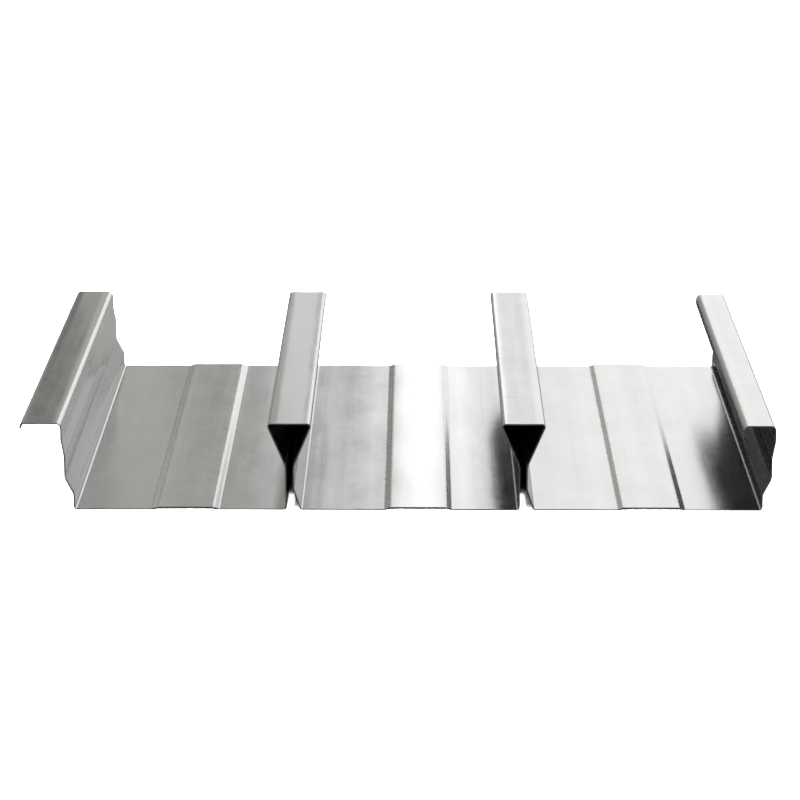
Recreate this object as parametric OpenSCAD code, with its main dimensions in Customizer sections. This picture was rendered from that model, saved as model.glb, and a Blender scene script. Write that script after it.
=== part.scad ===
// Steel floor decking sheet: one roll-formed galvanised sheet with three
// pans, two closed dovetail ribs and a lap edge on each side.
// Millimetres, +Z up. Origin: middle of the outline box, on the floor.
// X runs across the ribs, Y along them; the near cut end is at -Y.

/* [Sheet] */
// Length along the ribs, from cut end to cut end
sheet_l = 370; // [150:10:900]
// Thickness of the steel with its zinc
sheet_t = 1; // [0.7:0.1:1.4]
// Radius inside the tight bends at the feet, bands and small lip
bend_r = 1.5; // [1:0.5:3]
// Radius inside the corners of the flanges
corner_r = 3; // [2:0.5:4]
// Radius inside the gentle bends above the spread feet
soft_r = 6; // [4:1:8]
// Radius inside the wide bends of rib walls and edge webs
wide_r = 12; // [8:1:16]

/* [Pans] */
// Distance between the middles of neighbouring bands
band_pitch = 167; // [150:1:190]
// Distance from the middle of an outer band to the lapped seam
edge_reach = 88; // [76:1:100]
// Foot to foot width of the raised band in each pan
band_w = 48; // [30:2:64]
// Rise of the raised band above the pan
band_h = 1.5; // [1:0.5:4]
// Width of the slope on each side of the band
band_run = 4; // [3:0.5:8]

/* [Ribs] */
// Height of the ribs, and of the sheet as it lies
rib_h = 65; // [55:1:80]
// Width over the top of an inner rib, between its two fold lines
rib_top_w = 32; // [24:1:40]
// Radius inside the two corners of a rib's top
rib_r = 1.5; // [1:0.5:3]
// Height of the straight neck, where the walls start to slope apart
neck_h = 33; // [28:1:38]
// Clear gap between the two walls of a rib at its neck
neck_gap = 4.5; // [4.5:0.5:8]
// Distance the inner ribs stand to the left of the middle between two bands
rib_shift = 8.5; // [0:0.5:12]
// How far the right foot of an inner rib spreads
spread_w = 5; // [2:0.5:8]
// Height at which that foot starts to spread
spread_h = 16; // [10:1:20]

/* [Lap edges] */
// Width of the over-lapping flange, web face to lip face
over_w = 29; // [26:1:36]
// Height of the small lip on the over-lapping flange
over_lip = 5; // [4:0.5:9]
// Width of the under-lapping flange, web face to lip face
under_w = 24; // [18:1:25]
// Height of the lip on the under-lapping flange
under_lip = 9; // [7:0.5:14]
// Radius inside the round edge above that lip
under_r = 4; // [2:0.5:5]
// Play left between two lapped sheets
lap_play = 0.4; // [0.2:0.1:1]
// Depth of the upright seam face at the top of an edge web
seam_d = 13; // [10:1:16]
// Sideways step of an edge web below its seam face
jog_w = 2; // [1:0.5:4]
// Height over which that step is made
jog_h = 12; // [8:1:14]
// Sideways spread of an edge web above its foot
flare_w = 6; // [3:0.5:9]
// Height over which the web spreads
flare_h = 12; // [8:1:14]
// Height of the upright foot of an edge web
foot_h = 12; // [8:1:14]

/* [Hidden] */
// Middle of the thickness, where the fold lines are set out
half_t = sheet_t / 2;
// Width that one sheet covers, from seam to seam
cover_w = 2 * (band_pitch + edge_reach);
// Heights of the fold lines
pan_z = half_t;
band_z = half_t + band_h;
top_z = rib_h - half_t;
under_z = top_z - sheet_t - lap_play / 2;
// Fold radii at the middle of the thickness
tight = bend_r + half_t;
corner = corner_r + half_t;
head = rib_r + half_t;
soft = soft_r + half_t;
wide = wide_r + half_t;
// Largest turn between two points of a bend, degrees
bend_step = 7.5;
// Outer faces of the two edge webs, as placed in the outline box
over_x = (over_w - cover_w + lap_play) / 2;
under_x = over_x + cover_w - lap_play;
// Half widths of a rib at its top and neck, to the middle of the sheet
rib_half = rib_top_w / 2;
neck_half = neck_gap / 2 + half_t;

// Fold lines are [x, z, radius], in order from the left edge to the right.

// Upright edge web whose outer face is at x, from its top down to the pan.
// side is 1 for the left edge and -1 for the right, where it is mirrored.
function edge_web(x, side) = let (face = x + side * half_t) [
    [face, rib_h - seam_d, wide],
    [face + side * jog_w, rib_h - seam_d - jog_h, wide],
    [face + side * jog_w, foot_h + flare_h, soft],
    [face + side * (jog_w + flare_w), foot_h, soft],
    [face + side * (jog_w + flare_w), pan_z, tight]
];

// Left edge: its flange goes over the next sheet and ends in a small lip
over_edge = concat([
    [over_x - over_w + half_t, rib_h - over_lip, 0],
    [over_x - over_w + half_t, top_z, tight],
    [over_x + half_t, top_z, corner]
], edge_web(over_x, 1));

// Right edge: its flange turns back over the pan and ends in a lip
right_web = edge_web(under_x, -1);
under_edge = concat([for (k = [4 : -1 : 0]) right_web[k]], [
    [under_x - half_t, under_z, corner],
    [under_x - under_w + half_t, under_z, under_r + half_t],
    [under_x - under_w + half_t, under_z + half_t - under_lip, 0]
]);

// Middle of pan i
function pan_x(i) = over_x + edge_reach + i * band_pitch;

// Raised band in pan i
function band(i) = let (x = pan_x(i)) [
    [x - band_w / 2, pan_z, tight],
    [x - band_w / 2 + band_run, band_z, tight],
    [x + band_w / 2 - band_run, band_z, tight],
    [x + band_w / 2, pan_z, tight]
];

// Closed rib between pan i and the next
function rib(i) = let (x = (pan_x(i) + pan_x(i + 1)) / 2 - rib_shift) [
    [x - neck_half, pan_z, tight],
    [x - neck_half, neck_h, wide],
    [x - rib_half, top_z, head],
    [x + rib_half, top_z, head],
    [x + neck_half, neck_h, wide],
    [x + neck_half, spread_h, soft],
    [x + neck_half + spread_w, pan_z, tight]
];

folds = concat(over_edge, band(0), rib(0), band(1), rib(1), band(2), under_edge);

function xz(f) = [f[0], f[1]];
function unit(v) = v / norm(v);
function left_of(v) = [-v[1], v[0]];
function turned(v, a) = [v[0] * cos(a) - v[1] * sin(a), v[0] * sin(a) + v[1] * cos(a)];
function turn(u, v) = atan2(u[0] * v[1] - u[1] * v[0], u * v);

// Bend at fold line k: points on the middle of the sheet, each with the
// direction square to the sheet there
function bend(k) = let (
    p = xz(folds[k]),
    r = folds[k][2],
    u = unit(p - xz(folds[k - 1])),
    a = turn(u, unit(xz(folds[k + 1]) - p)),
    side = left_of(u) * sign(a),
    centre = p - u * r * tan(abs(a) / 2) + side * r,
    steps = ceil(abs(a) / bend_step)
) [for (i = [0 : steps]) [
    centre - turned(side, a * i / steps) * r,
    turned(left_of(u), a * i / steps)
]];

// Free edge of the sheet at fold line k, where it runs along u
function free_edge(k, u) = [[xz(folds[k]), left_of(u)]];

last = len(folds) - 1;
mid_line = concat(
    free_edge(0, unit(xz(folds[1]) - xz(folds[0]))),
    [for (k = [1 : last - 1]) each bend(k)],
    free_edge(last, unit(xz(folds[last]) - xz(folds[last - 1])))
);

// The rolled section: the middle line given its thickness to both sides
module section() {
    n = len(mid_line);
    polygon(concat(
        [for (m = mid_line) m[0] + m[1] * half_t],
        [for (i = [1 : n]) mid_line[n - i][0] - mid_line[n - i][1] * half_t]
    ));
}

module deck_sheet() {
    color("#b9bcbb")
        translate([0, sheet_l / 2, 0])
            rotate([90, 0, 0])
                linear_extrude(height = sheet_l)
                    section();
}

deck_sheet();
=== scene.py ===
import bpy
import numpy as np
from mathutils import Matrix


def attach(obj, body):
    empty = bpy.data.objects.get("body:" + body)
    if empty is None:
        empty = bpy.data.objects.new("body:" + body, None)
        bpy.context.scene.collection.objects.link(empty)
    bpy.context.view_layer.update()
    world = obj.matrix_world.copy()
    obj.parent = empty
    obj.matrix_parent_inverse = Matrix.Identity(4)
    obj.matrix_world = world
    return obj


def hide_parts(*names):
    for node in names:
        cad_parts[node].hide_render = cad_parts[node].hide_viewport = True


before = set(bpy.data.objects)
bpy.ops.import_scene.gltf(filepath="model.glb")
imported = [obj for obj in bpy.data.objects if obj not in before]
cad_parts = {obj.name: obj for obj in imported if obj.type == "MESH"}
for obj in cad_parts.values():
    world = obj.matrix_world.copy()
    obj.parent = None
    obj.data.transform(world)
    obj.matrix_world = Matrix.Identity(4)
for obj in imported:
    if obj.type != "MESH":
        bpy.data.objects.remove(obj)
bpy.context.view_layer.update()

# Sizes in millimetres. Those of the section have the names of the part's source.
metre = 1000.0
sheet_l, sheet_t = 370.0, 1.0
half_t = sheet_t / 2
band_pitch, edge_reach = 167.0, 88.0
band_w, band_h, band_run = 48.0, 1.5, 4.0
rib_h, rib_top_w, rib_shift = 65.0, 32.0, 8.5
neck_h, neck_gap = 33.0, 4.5
spread_w, spread_h = 5.0, 16.0
over_w, over_lip = 29.0, 5.0
under_w, under_lip, under_r = 24.0, 9.0, 4.0
lap_play, seam_d, jog_w, jog_h = 0.4, 13.0, 2.0, 12.0
flare_w, flare_h, foot_h = 6.0, 12.0, 12.0
cover_w = 2 * (band_pitch + edge_reach)
over_x = (over_w - cover_w + lap_play) / 2
under_x = over_x + cover_w - lap_play
pan_z, band_z, top_z = half_t, half_t + band_h, rib_h - half_t
under_z = top_z - sheet_t - lap_play / 2
# Bend radii at the middle of the thickness. The bends of the bands are rounder
# here than in the part's source, so that their lines show as soft as real ones.
tight, corner, head, soft, wide, band_bend = np.array([1.5, 3, 1.5, 6, 12, 4.5]) + half_t


def edge_web(x, side):
    """Fold lines (x, z, radius) of an edge web, from under its flange down to
    the pan: an upright seam face, a small step in, an upright run, a spread
    and an upright foot. side is 1 at the left edge and -1 at the right."""
    face = x + side * half_t
    step, foot = face + side * jog_w, face + side * (jog_w + flare_w)
    return [
        (face, rib_h - seam_d, wide),
        (step, rib_h - seam_d - jog_h, wide),
        (step, foot_h + flare_h, soft),
        (foot, foot_h, soft),
        (foot, pan_z, tight),
    ]


def band(i):
    """Fold lines of the raised band in pan i: up a slope, across, and down."""
    left = over_x + edge_reach + i * band_pitch - band_w / 2
    right = left + band_w
    return [
        (left, pan_z, band_bend),
        (left + band_run, band_z, band_bend),
        (right - band_run, band_z, band_bend),
        (right, pan_z, band_bend),
    ]


def rib(i):
    """Fold lines of the closed rib between pan i and the next: up the neck,
    out along a slope, over the flat top, and down to a spread right foot."""
    x = over_x + edge_reach + (i + 0.5) * band_pitch - rib_shift
    neck, top = neck_gap / 2 + half_t, rib_top_w / 2
    return [
        (x - neck, pan_z, tight),
        (x - neck, neck_h, wide),
        (x - top, top_z, head),
        (x + top, top_z, head),
        (x + neck, neck_h, wide),
        (x + neck, spread_h, soft),
        (x + neck + spread_w, pan_z, tight),
    ]


over_lip_x = over_x - over_w + half_t
under_lip_x = under_x - under_w + half_t
folds = np.array(
    [
        (over_lip_x, rib_h - over_lip, 0),
        (over_lip_x, top_z, tight),
        (over_x + half_t, top_z, corner),
        *edge_web(over_x, 1),
        *band(0), *rib(0), *band(1), *rib(1), *band(2),
        *edge_web(under_x, -1)[::-1],
        (under_x - half_t, under_z, corner),
        (under_lip_x, under_z, under_r + half_t),
        (under_lip_x, under_z + half_t - under_lip, 0),
    ]
)
edge_round = 0.12  # rounding of a sheared edge
edge_hold, row_inset = 0.5, 4.0  # from that rounding to the row that holds it, and to the even rows
bare_share = 0.6  # share of the rounding past which an edge is bare steel
wide_run, short_run = 40.0, 6.0  # a run bows in full from the first, counts as bent under the second
bow_depth, bow_along, bow_across = 0.12, 135.0, 410.0  # depth and wave lengths of the bow


def rolled_line(folds, run_steps=4, bend_steps=9):
    """The middle line of the rolled section, all folds at once. The line turns
    at a fold by the angle between its two runs; the arc starts
    radius * tan(turn / 2) before the fold line and swings about a centre one
    radius to the side. Between arcs the line is straight, in equal steps.
    Returns points, the direction square to the sheet, how free a point is to
    bow (0 on a bend, 1 in the middle of a wide run) and how bent it is (1 in the
    middle of a bend and on a short run, 0 on other runs)."""
    at, radius = folds[:, :2], folds[1:-1, 2:]
    way = np.diff(at, axis=0)
    way /= np.linalg.norm(way, axis=1, keepdims=True)
    square = np.stack([-way[:, 1], way[:, 0]], 1)
    before, after = way[:-1], way[1:]
    turn = np.arctan2((square[:-1] * after).sum(1), (before * after).sum(1))[:, None]
    reach = radius * np.tan(np.abs(turn) / 2)
    start, end = at[1:-1] - before * reach, at[1:-1] + after * reach
    arm = -square[:-1] * np.sign(turn) * radius
    bend_share = np.linspace(0, 1, bend_steps + 1)
    cos, sin = np.cos(turn * bend_share), np.sin(turn * bend_share)

    def swung(v):
        """Each fold's vector, turned step by step through its bend."""
        x, z = v[:, :1], v[:, 1:]
        return np.stack([x * cos - z * sin, x * sin + z * cos], 2)

    arcs, arc_square = (start - arm)[:, None] + swung(arm), swung(square[:-1])
    arc_free = np.zeros(arcs.shape[:2])
    arc_bent = np.broadcast_to(np.sin(np.pi * bend_share) ** 0.5, arcs.shape[:2])

    lip = way[[0, -1]] * np.array([[edge_round], [-edge_round]])
    hold = lip * (1 + edge_hold / edge_round)
    left_lip = np.stack([at[0], at[0] + lip[0], at[0] + hold[0]])
    right_lip = np.stack([at[-1] + hold[1], at[-1] + lip[1], at[-1]])
    lip_rows = len(left_lip)
    lip_none = np.zeros(lip_rows)

    run_share = np.arange(1, run_steps + 1) / (run_steps + 1)
    run_from, run_to = np.vstack([left_lip[-1:], end]), np.vstack([start, right_lip[:1]])
    runs = run_from[:, None] + (run_to - run_from)[:, None] * run_share[:, None]
    run_square = np.repeat(square[:, None], run_steps, 1)
    run_w = np.linalg.norm(run_to - run_from, axis=1)[:, None]
    run_free = np.sin(np.pi * run_share) ** 2 * np.minimum(run_w / wide_run, 1)
    run_bent = np.broadcast_to(run_w < short_run, run_free.shape) * 1.0

    def in_order(run, arc, first, last):
        """The values of runs and bends by turns, between those of the two lips."""
        body = np.concatenate([run[:-1], arc], 1)
        return np.concatenate([first, body.reshape(-1, *first.shape[1:]), run[-1], last])

    return (
        in_order(runs, arcs, left_lip, right_lip),
        in_order(
            run_square, arc_square, np.repeat(square[:1], lip_rows, 0), np.repeat(square[-1:], lip_rows, 0)
        ),
        in_order(run_free, arc_free, lip_none, lip_none),
        in_order(run_bent, arc_bent, lip_none, lip_none),
    )


def sheet_surface(folds, stations=40, round_steps=3):
    """The closed skin of the sheet: a thin ring, which runs along one face,
    round the far cut end, back along the other face and round the near end,
    carried along the section's middle line. A point is the middle line plus
    the square direction times the ring's height, at the ring's place along Y.
    The level flats bow a tenth of a millimetre inwards in slow waves, as rolled
    sheet does. Returns points and faces, and for each point its place across
    the flat strip, whether it is on a sheared edge, and how bent it is."""
    line, square, free, bent = rolled_line(folds)
    reach = sheet_l / 2 - edge_round
    quarter = np.linspace(0, np.pi / 2, round_steps + 1)
    end_y = reach + edge_round * np.sin(quarter)
    end_h = half_t - edge_round + edge_round * np.cos(quarter)
    hold_y, row_y = reach - edge_hold, reach - row_inset
    between = np.concatenate([[-hold_y], np.linspace(-row_y, row_y, stations), [hold_y]])
    face_y = np.concatenate([-end_y[::-1], between, end_y])
    face_h = np.concatenate([end_h[::-1], np.full(len(between), half_t), end_h])
    ring_y = np.concatenate([face_y, face_y[::-1]])
    ring_h = np.concatenate([face_h, -face_h[::-1]])
    across = np.concatenate([[0], np.cumsum(np.linalg.norm(np.diff(line, axis=0), axis=1))])
    lip = np.zeros(len(line))
    lip[[0, -1]] = edge_round
    inward = np.where(line[:, 1] < rib_h / 2, 1, -1) * free * square[:, 1]
    wave = 0.5 + 0.5 * np.sin(2 * np.pi * (ring_y[None] / bow_along + across[:, None] / bow_across))
    height = ring_h[None] * (1 - lip[:, None] / half_t) + bow_depth * inward[:, None] * wave
    points = np.stack(
        [
            line[:, :1] + square[:, :1] * height,
            ring_y[None] * (1 - lip[:, None] / reach),
            line[:, 1:] + square[:, 1:] * height,
        ],
        2,
    )
    rows, ring = height.shape
    here = np.arange(rows * ring).reshape(rows, ring)
    beside = np.roll(here, -1, 1)
    skin = np.stack([here[:-1], here[1:], beside[1:], beside[:-1]], 2).reshape(-1, 4)
    k = np.arange(ring // 2 - 1)
    cap = np.stack([k, k + 1, ring - 2 - k, ring - 1 - k], 1)
    faces = np.concatenate([skin, here[0][cap], here[-1][cap[:, ::-1]]])
    cut = (np.abs(ring_y) > reach + edge_round * bare_share) | (lip[:, None] > 0)
    marks = [np.broadcast_to(mark, height.shape).ravel() for mark in (across[:, None], cut, bent[:, None])]
    return points.reshape(-1, 3), faces, *marks


def strip_mesh(name, points, faces, across, cut, bent):
    """A mesh of quads from whole arrays, in metres, with a map whose U is the
    place across the flat strip and whose V is the place along it."""
    mesh = bpy.data.meshes.new(name)
    mesh.vertices.add(len(points))
    mesh.vertices.foreach_set("co", (points / metre).astype(np.float32).ravel())
    mesh.loops.add(faces.size)
    mesh.loops.foreach_set("vertex_index", faces.astype(np.int32).ravel())
    mesh.polygons.add(len(faces))
    mesh.polygons.foreach_set("loop_start", np.arange(0, faces.size, faces.shape[1], dtype=np.int32))
    mesh.update(calc_edges=True)
    mesh.polygons.foreach_set("use_smooth", np.ones(len(faces), bool))
    flat = np.stack([across, points[:, 1]], 1)[faces.ravel()] / metre
    mesh.uv_layers.new(name="strip").uv.foreach_set("vector", flat.astype(np.float32).ravel())
    for key, values in (("sheared", cut), ("bent", bent)):
        mesh.attributes.new(key, "FLOAT", "POINT").data.foreach_set("value", values.astype(np.float32))
    mesh.validate()
    return mesh


def placed(name, data):
    """A new object with that mesh, lamp or camera, put into the scene."""
    item = bpy.data.objects.new(name, data)
    bpy.context.scene.collection.objects.link(item)
    return item


deck = placed("deck_sheet_zinc", strip_mesh("deck_sheet_zinc", *sheet_surface(folds)))


def linear(hex_colour):
    """An sRGB hex colour as linear red, green, blue and alpha."""
    c = np.array([int(hex_colour[i:i + 2], 16) for i in (1, 3, 5)]) / 255
    return (*np.where(c <= 0.04045, c / 12.92, ((c + 0.055) / 1.055) ** 2.4), 1.0)


def emptied_tree(owner):
    """The node tree of a material or of the world, with no node in it."""
    owner.use_nodes = True
    owner.node_tree.nodes.clear()
    return owner.node_tree


def add(tree, kind, links=(), **settings):
    """Adds a node of that kind. A setting that names an input (or its number,
    as in_3) fills it, any other sets the node itself; links are (input, socket)."""
    node = tree.nodes.new(kind)
    for key, value in settings.items():
        if key.startswith("in_"):
            node.inputs[int(key[3:])].default_value = value
        elif key.replace("_", " ") in node.inputs:
            node.inputs[key.replace("_", " ")].default_value = value
        else:
            setattr(node, key, value)
    for key, socket in links:
        tree.links.new(socket, node.inputs[key])
    return node


# Hot-dip galvanised steel, cold rolled and skin passed: a bright satin zinc skin
# with faint lengthwise roll lines and crystals levelled to a few millimetres. It
# is softer at the bends, where the zinc is stretched, and painted paler there, a
# painted highlight along the folds and the short slopes of the bands. Bare dark
# steel shows where the strip was sheared.
zinc_grey, zinc_pale, bare_steel = "#b9bab8", "#d2d3d2", "#5a5856"
# Grain across and along the strip in millimetres. Real roll lines are finer than
# a tenth of a millimetre, so they are drawn coarser here, to show at all.
roll_line_mm, roll_band_mm = (1.1, 160), (14, 900)
crystal_mm, bloom_mm, wave_mm = (4, 4), (38, 60), (55, 80)
relief_depth = 0.0002  # metres that a full step of the relief stands for
zinc = bpy.data.materials.new("galvanised_steel")
tree = emptied_tree(zinc)
strip = add(tree, "ShaderNodeUVMap", uv_map="strip").outputs[0]


def pattern(kind, grain_mm, **settings):
    """A texture on the flat strip, with that grain across and along it."""
    across, along = grain_mm
    scale = add(tree, "ShaderNodeMapping", [(0, strip)], Scale=(metre / across, metre / along, 1))
    return add(tree, kind, [("Vector", scale.outputs[0])], Scale=1.0, **settings)


roll_lines = pattern("ShaderNodeTexNoise", roll_line_mm, Detail=3.0, Roughness=0.6).outputs[0]
roll_bands = pattern("ShaderNodeTexNoise", roll_band_mm, Detail=2.0, Roughness=0.5).outputs[0]
crystals = pattern("ShaderNodeTexVoronoi", crystal_mm).outputs["Color"]
bloom = pattern("ShaderNodeTexNoise", bloom_mm, Detail=4.0, Roughness=0.6).outputs[0]
waves = pattern("ShaderNodeTexNoise", wave_mm, Detail=1.0, Roughness=0.4).outputs[0]
sheared = add(tree, "ShaderNodeAttribute", attribute_name="sheared").outputs["Fac"]
bent = add(tree, "ShaderNodeAttribute", attribute_name="bent").outputs["Fac"]


def blended(base, grains, marks=()):
    """base plus each grain's (socket, weight), taken about its middle, 0.5, and
    each mark's, taken from 0."""
    total = base - 0.5 * sum(weight for _, weight in grains)
    for socket, weight in [*grains, *marks]:
        node = add(tree, "ShaderNodeMath", [(0, socket)], operation="MULTIPLY_ADD", in_1=weight)
        if isinstance(total, float):
            node.inputs[2].default_value = total
        else:
            tree.links.new(total, node.inputs[2])
        total = node.outputs[0]
    return total


# The bent mark paints the bends and the band slopes paler: a painted highlight along the folds.
tone_and_painted_highlight = blended(
    0.5,
    [(roll_lines, 0.35), (roll_bands, 0.9), (crystals, 0.18), (bloom, 0.9)],
    [(bent, 0.35)],
)
skin = add(
    tree, "ShaderNodeMix", [(0, tone_and_painted_highlight)],
    data_type="RGBA", in_6=linear(zinc_grey), in_7=linear(zinc_pale),
)
colour = add(
    tree, "ShaderNodeMix", [(0, sheared), (6, skin.outputs[2])],
    data_type="RGBA", in_7=linear(bare_steel),
)
gloss = blended(
    0.19,
    [(roll_lines, 0.06), (roll_bands, 0.08), (crystals, 0.03), (bloom, 0.06)],
    [(sheared, 0.2), (bent, 0.1)],
)
relief = blended(0.5, [(waves, 0.9), (roll_lines, 0.012), (roll_bands, 0.08), (crystals, 0.006)])
bump = add(tree, "ShaderNodeBump", [("Height", relief)], Strength=1.0, Distance=relief_depth)
steel = add(
    tree, "ShaderNodeBsdfPrincipled",
    [("Base Color", colour.outputs[2]), ("Roughness", gloss), ("Normal", bump.outputs[0])],
    Metallic=1.0,
)
add(tree, "ShaderNodeOutputMaterial", [("Surface", steel.outputs[0])])
deck.data.materials.append(zinc)
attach(deck, "root")
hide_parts("deck_sheet")

# The floor of the stage: a wide board rolled with matt white paint, which gives
# the eye no shine at all. In the metal's reflections it is painted dark grey
# instead, a painted reflection that keeps the webs grey.
floor_half = 8.0  # half its side, in metres, as are all sizes of the stage
floor_white, floor_painted_reflection = "#f2f2f0", "#484847"


def flat_card(name, near, far):
    """A rectangle from its near left corner to its far right one. Its near and
    far sides run along X."""
    (left, front, low), (right, back, high) = near, far
    mesh = bpy.data.meshes.new(name)
    corners = [(left, front, low), (right, front, low), (right, back, high), (left, back, high)]
    mesh.from_pydata(corners, [], [(0, 1, 2, 3)])
    return placed(name, mesh)


floor = flat_card("floor", (-floor_half, -floor_half, 0), (floor_half, floor_half, 0))
paint = bpy.data.materials.new("matt_white_paint")
tree = emptied_tree(paint)
mirrored = add(tree, "ShaderNodeLightPath").outputs["Is Glossy Ray"]
# Painted reflection: the floor shows dark grey to reflection rays and white to all others.
coat = add(
    tree, "ShaderNodeMix", [(0, mirrored)],
    data_type="RGBA", in_6=linear(floor_white), in_7=linear(floor_painted_reflection),
)
matt = add(
    tree, "ShaderNodeBsdfPrincipled", [("Base Color", coat.outputs[2])],
    Roughness=0.9, Specular_IOR_Level=0.0,
)
add(tree, "ShaderNodeOutputMaterial", [("Surface", matt.outputs[0])])
floor.data.materials.append(paint)

# The flag: a black card laid on the floor behind the right half of the sheet,
# which gives back hardly any light. Only the metal sees it, a painted dark
# reflection, so that the walls that face left mirror no pale floor.
flag_near, flag_far = (0.02, 0.2, 0.001), (0.6, 0.8, 0.001)
flag_black = "#101010"
flag = flat_card("flag", flag_near, flag_far)
flag.visible_camera = flag.visible_diffuse = flag.visible_shadow = False
flag_coat = bpy.data.materials.new("reflection_only_black")
tree = emptied_tree(flag_coat)
flag_matt = add(tree, "ShaderNodeBsdfPrincipled", Base_Color=linear(flag_black), Roughness=1.0)
add(tree, "ShaderNodeOutputMaterial", [("Surface", flag_matt.outputs[0])])
flag.data.materials.append(flag_coat)

# The screen: pale silk far behind the sheet, lit from its back, which the pans
# mirror. It is dim at the left and bright from the middle to the right. In second
# reflections its middle is black, as by a flag, so that walls that face left stay dark.
screen_y, screen_low, screen_high = 5.2, 0.36, 3.2
screen_left, screen_right = -2.6, 2.6
screen_gain = 3.0  # the brightness that a stop's full colour stands for
warm, cool, plain = "#fdfff8", "#fdfeff", "#fefffe"
# Place across the screen, brightness and tint of each stop
first_stops = [
    (screen_left, 0.45, warm), (-1.2, 0.45, warm), (-1.08, 0.22, warm), (-0.85, 0.15, warm),
    (-0.81, 0.86, warm), (-0.74, 0.64, warm), (-0.6, 0.52, warm), (-0.42, 0.3, warm), (-0.37, 0.4, warm),
    (-0.32, 1.6, cool), (-0.25, 0.95, cool), (-0.17, 0.34, cool), (-0.08, 0.2, cool),
    (-0.04, 2.7, plain), (0.06, 2.4, plain), (0.12, 1.1, plain), (0.25, 0.9, plain),
    (0.34, 1.34, plain), (screen_right, 1.3, plain),
]
second_stops = [
    (screen_left, 0.006, warm), (-0.5, 0.006, warm), (-0.4, 0.0, warm),
    (0.2, 0.0, plain), (0.32, 0.83, plain), (screen_right, 0.83, plain),
]
card = flat_card("screen", (screen_left, screen_y, screen_low), (screen_right, screen_y, screen_high))
card.visible_camera = card.visible_diffuse = card.visible_shadow = False
silk = bpy.data.materials.new("lit_silk")
silk.cycles.emission_sampling = "NONE"
tree = emptied_tree(silk)
spot = add(tree, "ShaderNodeTexCoord").outputs["Object"]
spot_x = add(tree, "ShaderNodeSeparateXYZ", [(0, spot)]).outputs[0]
place = add(tree, "ShaderNodeMapRange", [(0, spot_x)], in_1=screen_left, in_2=screen_right).outputs[0]


def ramp(stops):
    """The colours of the stops, blended by the place across the screen."""
    node = add(tree, "ShaderNodeValToRGB", [(0, place)])
    elements = node.color_ramp.elements
    for _ in stops[2:]:
        elements.new(0.5)
    for element, (x, level, tint) in zip(elements, stops):
        element.position = (x - screen_left) / (screen_right - screen_left)
        element.color = (*np.array(linear(tint)[:3]) * level / screen_gain, 1.0)
    return node.outputs[0]


def by_depth(tree, depth_name, operation, depth):
    """1 where a ray's depth of that name passes the test, otherwise 0."""
    ray = add(tree, "ShaderNodeLightPath").outputs[depth_name]
    return add(tree, "ShaderNodeMath", [(0, ray)], operation=operation, in_1=depth).outputs[0]


def early(tree):
    """1 in a first or second reflection that the floor has no part in."""
    few = by_depth(tree, "Glossy Depth", "LESS_THAN", 2.5)
    no_floor = by_depth(tree, "Diffuse Depth", "LESS_THAN", 0.5)
    return add(tree, "ShaderNodeMath", [(0, few), (1, no_floor)], operation="MULTIPLY").outputs[0]


second = by_depth(tree, "Glossy Depth", "GREATER_THAN", 1.5)
light = add(
    tree, "ShaderNodeMix", [(0, second), (6, ramp(first_stops)), (7, ramp(second_stops))],
    data_type="RGBA",
)
glow = add(tree, "ShaderNodeMath", [(0, early(tree))], operation="MULTIPLY", in_1=screen_gain)
shine = add(tree, "ShaderNodeEmission", [("Color", light.outputs[2]), ("Strength", glow.outputs[0])])
add(tree, "ShaderNodeOutputMaterial", [("Surface", shine.outputs[0])])
card.data.materials.append(silk)


# The lamps for the floor: a long soft box across the sheet, above and in front, a
# sun from the front, and two low ones that reach in under the bands and flanges
# from both sides. They leave the hollows of the ribs dark.
def lamp(name, kind, tilt, turn=0, **settings):
    """A lamp that neither the camera nor the metal sees, with its tilt from
    straight down and its turn about the upright in degrees."""
    data = bpy.data.lights.new(name, kind)
    for key, value in settings.items():
        setattr(data, key, value)
    item = placed(name, data)
    item.rotation_euler = np.radians((tilt, 0, turn))
    item.visible_camera = item.visible_glossy = False
    return item


soft_box = lamp("top_light", "AREA", tilt=28, shape="RECTANGLE", size=8.0, size_y=1.4, energy=1100)
soft_box.location = (0.0, -1.5, 2.8)
lamp("front_light", "SUN", tilt=30, energy=5.0, angle=np.radians(6))
for name, turn in (("left_fill", -55), ("right_fill", 55)):
    lamp(name, "SUN", tilt=76, turn=turn, energy=9.0, angle=np.radians(4))

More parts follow.
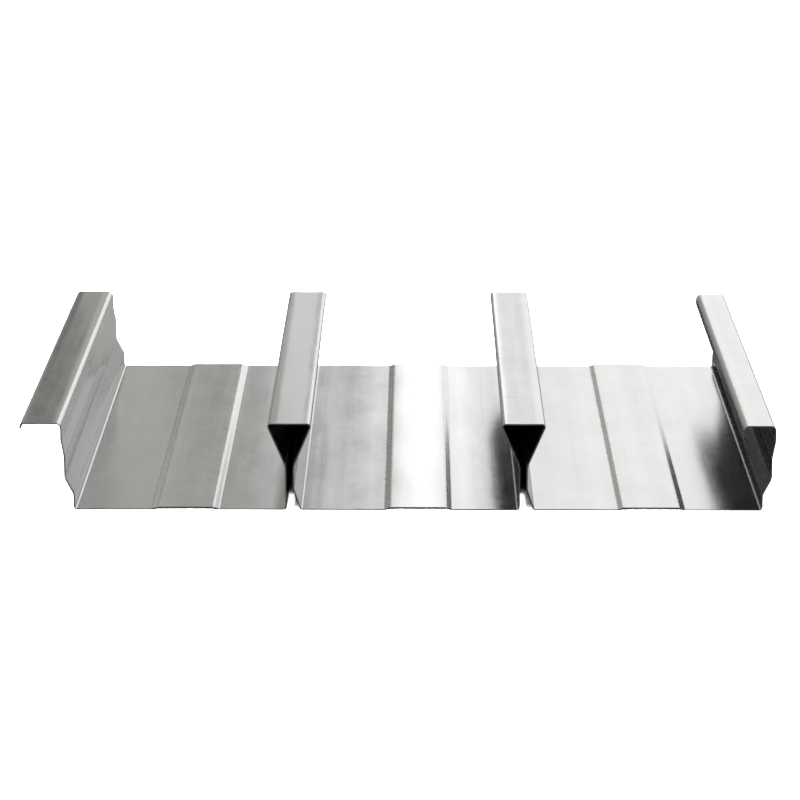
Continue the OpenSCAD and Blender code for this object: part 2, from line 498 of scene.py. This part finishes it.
# The room: a pale tent above, in front and at the sides, and behind the sheet
# dark to the left and grey to the right. It shows in the metal only, and the
# camera sees it as plain white.
tent_full, tent_end = 0.7, 0.9  # how far back a direction points where the tent starts to fade, and ends
tent_level, tent_slope = 0.85, (0.15, 0.0, 0.3)  # its brightness, and the gain to the right and upwards
back_from, back_full, back_level = 0.05, 0.09, 0.75  # where the grey behind starts, is full, and its level
dark_level = 0.005  # what is left of the light where the room is dark
room = bpy.data.worlds.new("studio")
room.cycles_visibility.diffuse = False
bpy.context.scene.world = room
tree = emptied_tree(room)
way = add(tree, "ShaderNodeTexCoord").outputs["Generated"]
way_xyz = add(tree, "ShaderNodeSeparateXYZ", [(0, way)])
tent = add(
    tree, "ShaderNodeMapRange", [(0, way_xyz.outputs[1])],
    interpolation_type="SMOOTHSTEP", in_1=tent_full, in_2=tent_end, in_3=1.0, in_4=0.0,
)
slope = add(tree, "ShaderNodeVectorMath", [(0, way)], operation="DOT_PRODUCT", in_1=tent_slope)
shade = add(tree, "ShaderNodeMath", [(0, slope.outputs["Value"])], operation="ADD", in_1=tent_level)
front = add(tree, "ShaderNodeMath", [(0, tent.outputs[0]), (1, shade.outputs[0])], operation="MULTIPLY")
back = add(
    tree, "ShaderNodeMapRange", [(0, way_xyz.outputs[0])],
    interpolation_type="SMOOTHSTEP", in_1=back_from, in_2=back_full, in_3=0.0, in_4=back_level,
)
walls = add(tree, "ShaderNodeMath", [(0, front.outputs[0]), (1, back.outputs[0])], operation="MAXIMUM")
level = add(
    tree, "ShaderNodeMath", [(0, walls.outputs[0]), (1, early(tree))],
    operation="MULTIPLY_ADD", in_2=dark_level,
)
in_metal = add(tree, "ShaderNodeBackground", [("Strength", level.outputs[0])])
to_camera = add(tree, "ShaderNodeBackground", Strength=1.0)
direct = add(tree, "ShaderNodeLightPath").outputs["Is Camera Ray"]
shown = add(tree, "ShaderNodeMixShader", [(0, direct), (1, in_metal.outputs[0]), (2, to_camera.outputs[0])])
add(tree, "ShaderNodeOutputWorld", [("Surface", shown.outputs[0])])
bpy.context.scene.view_settings.view_transform = "Standard"

# The camera: a long lens a little over two metres away, where the photograph
# was taken from, looking down along the ribs.
lens_mm, sensor_mm = 131.13, 36.0
camera_at = (0.01404, -2.16154, 0.67894)
look_down, look_left = 16.788, 0.36  # degrees
view = bpy.data.cameras.new("camera")
view.lens, view.sensor_width = lens_mm, sensor_mm
camera = placed("camera", view)
camera.location = camera_at
camera.rotation_euler = np.radians((90 - look_down, 0, look_left))
bpy.context.scene.camera = camera
